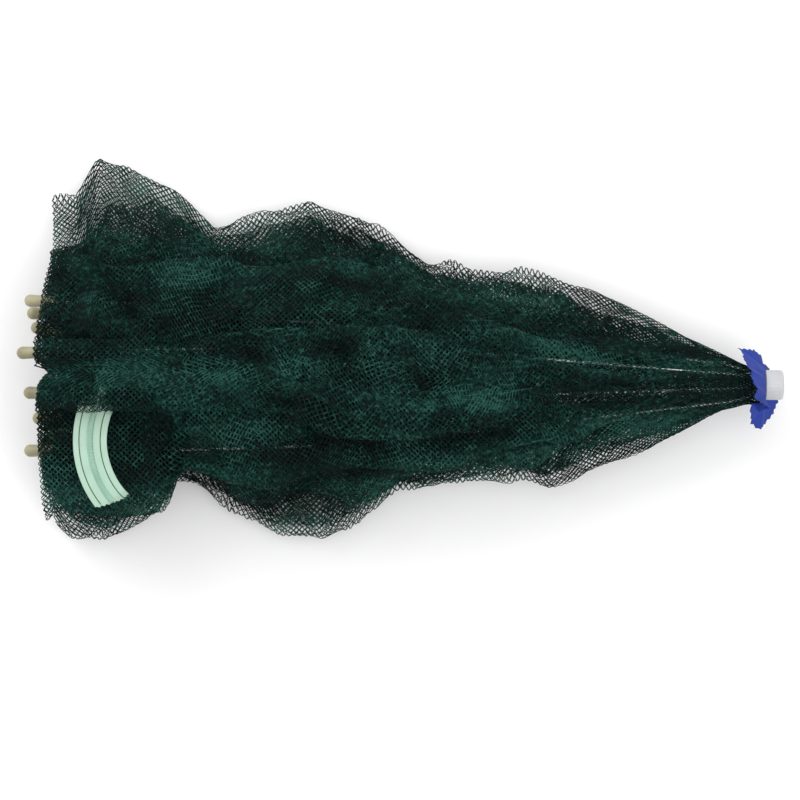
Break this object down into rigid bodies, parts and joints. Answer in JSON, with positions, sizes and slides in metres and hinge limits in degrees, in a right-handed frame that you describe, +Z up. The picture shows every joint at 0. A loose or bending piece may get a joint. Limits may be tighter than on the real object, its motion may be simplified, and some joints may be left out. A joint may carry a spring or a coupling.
{
  "type": "folding crab trap",
  "caption": "Umbrella-style folding net trap, folded flat: hinged steel ribs and stretchers on a plastic crown and sliding runner, net cover, zip.",
  "frame": {"origin": "centre of the folded trap's footprint, on the surface it lies on", "axes": "+X along the hub axis towards the crown, +Y across the bundle, +Z up from the surface"},
  "size_m": [0.6136, 0.3064, 0.1051],
  "materials": {
    "crown": "satin",
    "steel_wire": "satin",
    "tip": "matte",
    "clip": "matte",
    "net": "matte",
    "washer": "matte",
    "tape": "matte",
    "coil": "satin",
    "slider": "satin",
    "cord": "matte"
  },
  "bodies": {
    "crown": {"crown": "crown", "crown_ring": "steel_wire", "neck_binding": "cord", "fabric_washer": "washer"},
    "rib_0": {"rib_0": "steel_wire", "tip_0": "tip", "clip_0": "clip", "net_near_0": "net"},
    "rib_1": {"rib_1": "steel_wire", "tip_1": "tip", "clip_1": "clip", "net_near_1": "net"},
    "rib_2": {"rib_2": "steel_wire", "tip_2": "tip", "clip_2": "clip", "net_near_2": "net"},
    "rib_3": {"rib_3": "steel_wire", "tip_3": "tip", "clip_3": "clip", "net_near_3": "net"},
    "rib_4": {"rib_4": "steel_wire", "tip_4": "tip", "clip_4": "clip", "net_near_4": "net"},
    "rib_5": {"rib_5": "steel_wire", "tip_5": "tip", "clip_5": "clip", "net_near_5": "net"},
    "rib_6": {"rib_6": "steel_wire", "tip_6": "tip", "clip_6": "clip", "net_near_6": "net"},
    "rib_7": {"rib_7": "steel_wire", "tip_7": "tip", "clip_7": "clip", "net_near_7": "net"},
    "gore_0": {"net_far_0": "net"},
    "gore_1": {"net_far_1": "net"},
    "gore_2": {"net_far_2": "net", "zip_tape_inner": "tape", "zip_tape_outer": "tape", "zip_coil": "coil"},
    "gore_3": {"net_far_3": "net"},
    "gore_4": {"net_far_4": "net"},
    "gore_5": {"net_far_5": "net"},
    "gore_6": {"net_far_6": "net"},
    "gore_7": {"net_far_7": "net"},
    "stretcher_0": {"stretcher_0": "steel_wire"},
    "stretcher_1": {"stretcher_1": "steel_wire"},
    "stretcher_2": {"stretcher_2": "steel_wire"},
    "stretcher_3": {"stretcher_3": "steel_wire"},
    "stretcher_4": {"stretcher_4": "steel_wire"},
    "stretcher_5": {"stretcher_5": "steel_wire"},
    "stretcher_6": {"stretcher_6": "steel_wire"},
    "stretcher_7": {"stretcher_7": "steel_wire"},
    "runner": {"runner": "crown", "runner_ring": "steel_wire"},
    "zip_slider": {"zip_slider": "slider"},
    "zip_pull": {"zip_pull": "slider"}
  },
  "joints": [
    {"name": "rib_0_open", "type": "hinge", "parent": "crown", "child": "rib_0", "pos_m": [0.285, -0.01657, 0.05539], "axis": [0, 0.1951, -0.9808], "range_deg": [0, 56]},
    {"name": "rib_1_open", "type": "hinge", "parent": "crown", "child": "rib_1", "pos_m": [0.285, -0.0204, 0.06111], "axis": [0, 0.8315, -0.5556], "range_deg": [0, 56]},
    {"name": "rib_2_open", "type": "hinge", "parent": "crown", "child": "rib_2", "pos_m": [0.285, -0.02716, 0.06246], "axis": [0, 0.9808, 0.1951], "range_deg": [0, 56]},
    {"name": "rib_3_open", "type": "hinge", "parent": "crown", "child": "rib_3", "pos_m": [0.285, -0.03288, 0.05863], "axis": [0, 0.5556, 0.8315], "range_deg": [0, 56]},
    {"name": "rib_4_open", "type": "hinge", "parent": "crown", "child": "rib_4", "pos_m": [0.285, -0.03423, 0.05187], "axis": [0, -0.1951, 0.9808], "range_deg": [0, 56]},
    {"name": "rib_5_open", "type": "hinge", "parent": "crown", "child": "rib_5", "pos_m": [0.285, -0.0304, 0.04615], "axis": [0, -0.8315, 0.5556], "range_deg": [0, 56]},
    {"name": "rib_6_open", "type": "hinge", "parent": "crown", "child": "rib_6", "pos_m": [0.285, -0.02364, 0.0448], "axis": [0, -0.9808, -0.1951], "range_deg": [0, 56]},
    {"name": "rib_7_open", "type": "hinge", "parent": "crown", "child": "rib_7", "pos_m": [0.285, -0.01792, 0.04863], "axis": [0, -0.5556, -0.8315], "range_deg": [0, 56]},
    {"name": "gore_0_spread", "type": "hinge", "parent": "rib_0", "child": "gore_0", "pos_m": [0.285, -0.0173, 0.05904], "axis": [-0.4409, 0.7463, 0.4987], "range_deg": [0, 41.4]},
    {"name": "gore_1_spread", "type": "hinge", "parent": "rib_1", "child": "gore_1", "pos_m": [0.285, -0.0235, 0.06318], "axis": [-0.4409, 0.1751, 0.8803], "range_deg": [0, 41.4]},
    {"name": "gore_2_spread", "type": "hinge", "parent": "rib_2", "child": "gore_2", "pos_m": [0.285, -0.03081, 0.06173], "axis": [-0.4409, -0.4987, 0.7463], "range_deg": [0, 41.4]},
    {"name": "gore_3_spread", "type": "hinge", "parent": "rib_3", "child": "gore_3", "pos_m": [0.285, -0.03495, 0.05553], "axis": [-0.4409, -0.8803, 0.1751], "range_deg": [0, 41.4]},
    {"name": "gore_4_spread", "type": "hinge", "parent": "rib_4", "child": "gore_4", "pos_m": [0.285, -0.0335, 0.04822], "axis": [-0.4409, -0.7463, -0.4987], "range_deg": [0, 41.4]},
    {"name": "gore_5_spread", "type": "hinge", "parent": "rib_5", "child": "gore_5", "pos_m": [0.285, -0.0273, 0.04408], "axis": [-0.4409, -0.1751, -0.8803], "range_deg": [0, 41.4]},
    {"name": "gore_6_spread", "type": "hinge", "parent": "rib_6", "child": "gore_6", "pos_m": [0.285, -0.01999, 0.04553], "axis": [-0.4409, 0.4987, -0.7463], "range_deg": [0, 41.4]},
    {"name": "gore_7_spread", "type": "hinge", "parent": "rib_7", "child": "gore_7", "pos_m": [0.285, -0.01585, 0.05173], "axis": [-0.4409, 0.8803, -0.1751], "range_deg": [0, 41.4]},
    {"name": "stretcher_0_swing", "type": "hinge", "parent": "rib_0", "child": "stretcher_0", "pos_m": [0.0919, 0.01004, 0.06068], "axis": [0, -0.1951, 0.9808], "range_deg": [0, 112]},
    {"name": "stretcher_1_swing", "type": "hinge", "parent": "rib_1", "child": "stretcher_1", "pos_m": [0.0919, -0.00532, 0.08368], "axis": [0, -0.8315, 0.5556], "range_deg": [0, 112]},
    {"name": "stretcher_2_swing", "type": "hinge", "parent": "rib_2", "child": "stretcher_2", "pos_m": [0.0919, -0.03245, 0.08907], "axis": [0, -0.9808, -0.1951], "range_deg": [0, 112]},
    {"name": "stretcher_3_swing", "type": "hinge", "parent": "rib_3", "child": "stretcher_3", "pos_m": [0.0919, -0.05545, 0.07371], "axis": [0, -0.5556, -0.8315], "range_deg": [0, 112]},
    {"name": "stretcher_4_swing", "type": "hinge", "parent": "rib_4", "child": "stretcher_4", "pos_m": [0.0919, -0.06084, 0.04658], "axis": [0, 0.1951, -0.9808], "range_deg": [0, 112]},
    {"name": "stretcher_5_swing", "type": "hinge", "parent": "rib_5", "child": "stretcher_5", "pos_m": [0.0919, -0.04548, 0.02358], "axis": [0, 0.8315, -0.5556], "range_deg": [0, 112]},
    {"name": "stretcher_6_swing", "type": "hinge", "parent": "rib_6", "child": "stretcher_6", "pos_m": [0.0919, -0.01835, 0.01819], "axis": [0, 0.9808, 0.1951], "range_deg": [0, 112]},
    {"name": "stretcher_7_swing", "type": "hinge", "parent": "rib_7", "child": "stretcher_7", "pos_m": [0.0919, 0.00465, 0.03355], "axis": [0, 0.5556, 0.8315], "range_deg": [0, 112]},
    {"name": "runner_travel", "type": "hinge", "parent": "stretcher_0", "child": "runner", "pos_m": [-0.1012, -0.01657, 0.05539], "axis": [0, 0.1951, -0.9808], "range_deg": [0, 56]},
    {"name": "zip_slide", "type": "hinge", "parent": "gore_2", "child": "zip_slider", "pos_m": [-0.1728, -0.0696, 0.09563], "axis": [0, 0, 1], "range_deg": [0, 60]},
    {"name": "zip_pull_flip", "type": "hinge", "parent": "zip_slider", "child": "zip_pull", "pos_m": [-0.23932, -0.03858, 0.10133], "axis": [0.9063, -0.4226, 0], "range_deg": [0, 170]}
  ],
  "couplings": [
    {"joint": "rib_1_open", "follows": "rib_0_open", "ratio": 1},
    {"joint": "rib_2_open", "follows": "rib_0_open", "ratio": 1},
    {"joint": "rib_3_open", "follows": "rib_0_open", "ratio": 1},
    {"joint": "rib_4_open", "follows": "rib_0_open", "ratio": 1},
    {"joint": "rib_5_open", "follows": "rib_0_open", "ratio": 1},
    {"joint": "rib_6_open", "follows": "rib_0_open", "ratio": 1},
    {"joint": "rib_7_open", "follows": "rib_0_open", "ratio": 1},
    {"joint": "gore_0_spread", "follows": "rib_0_open", "ratio": 0.73927},
    {"joint": "gore_1_spread", "follows": "rib_0_open", "ratio": 0.73927},
    {"joint": "gore_2_spread", "follows": "rib_0_open", "ratio": 0.73927},
    {"joint": "gore_3_spread", "follows": "rib_0_open", "ratio": 0.73927},
    {"joint": "gore_4_spread", "follows": "rib_0_open", "ratio": 0.73927},
    {"joint": "gore_5_spread", "follows": "rib_0_open", "ratio": 0.73927},
    {"joint": "gore_6_spread", "follows": "rib_0_open", "ratio": 0.73927},
    {"joint": "gore_7_spread", "follows": "rib_0_open", "ratio": 0.73927},
    {"joint": "stretcher_0_swing", "follows": "rib_0_open", "ratio": 2},
    {"joint": "stretcher_1_swing", "follows": "rib_0_open", "ratio": 2},
    {"joint": "stretcher_2_swing", "follows": "rib_0_open", "ratio": 2},
    {"joint": "stretcher_3_swing", "follows": "rib_0_open", "ratio": 2},
    {"joint": "stretcher_4_swing", "follows": "rib_0_open", "ratio": 2},
    {"joint": "stretcher_5_swing", "follows": "rib_0_open", "ratio": 2},
    {"joint": "stretcher_6_swing", "follows": "rib_0_open", "ratio": 2},
    {"joint": "stretcher_7_swing", "follows": "rib_0_open", "ratio": 2},
    {"joint": "runner_travel", "follows": "rib_0_open", "ratio": 1}
  ]
}
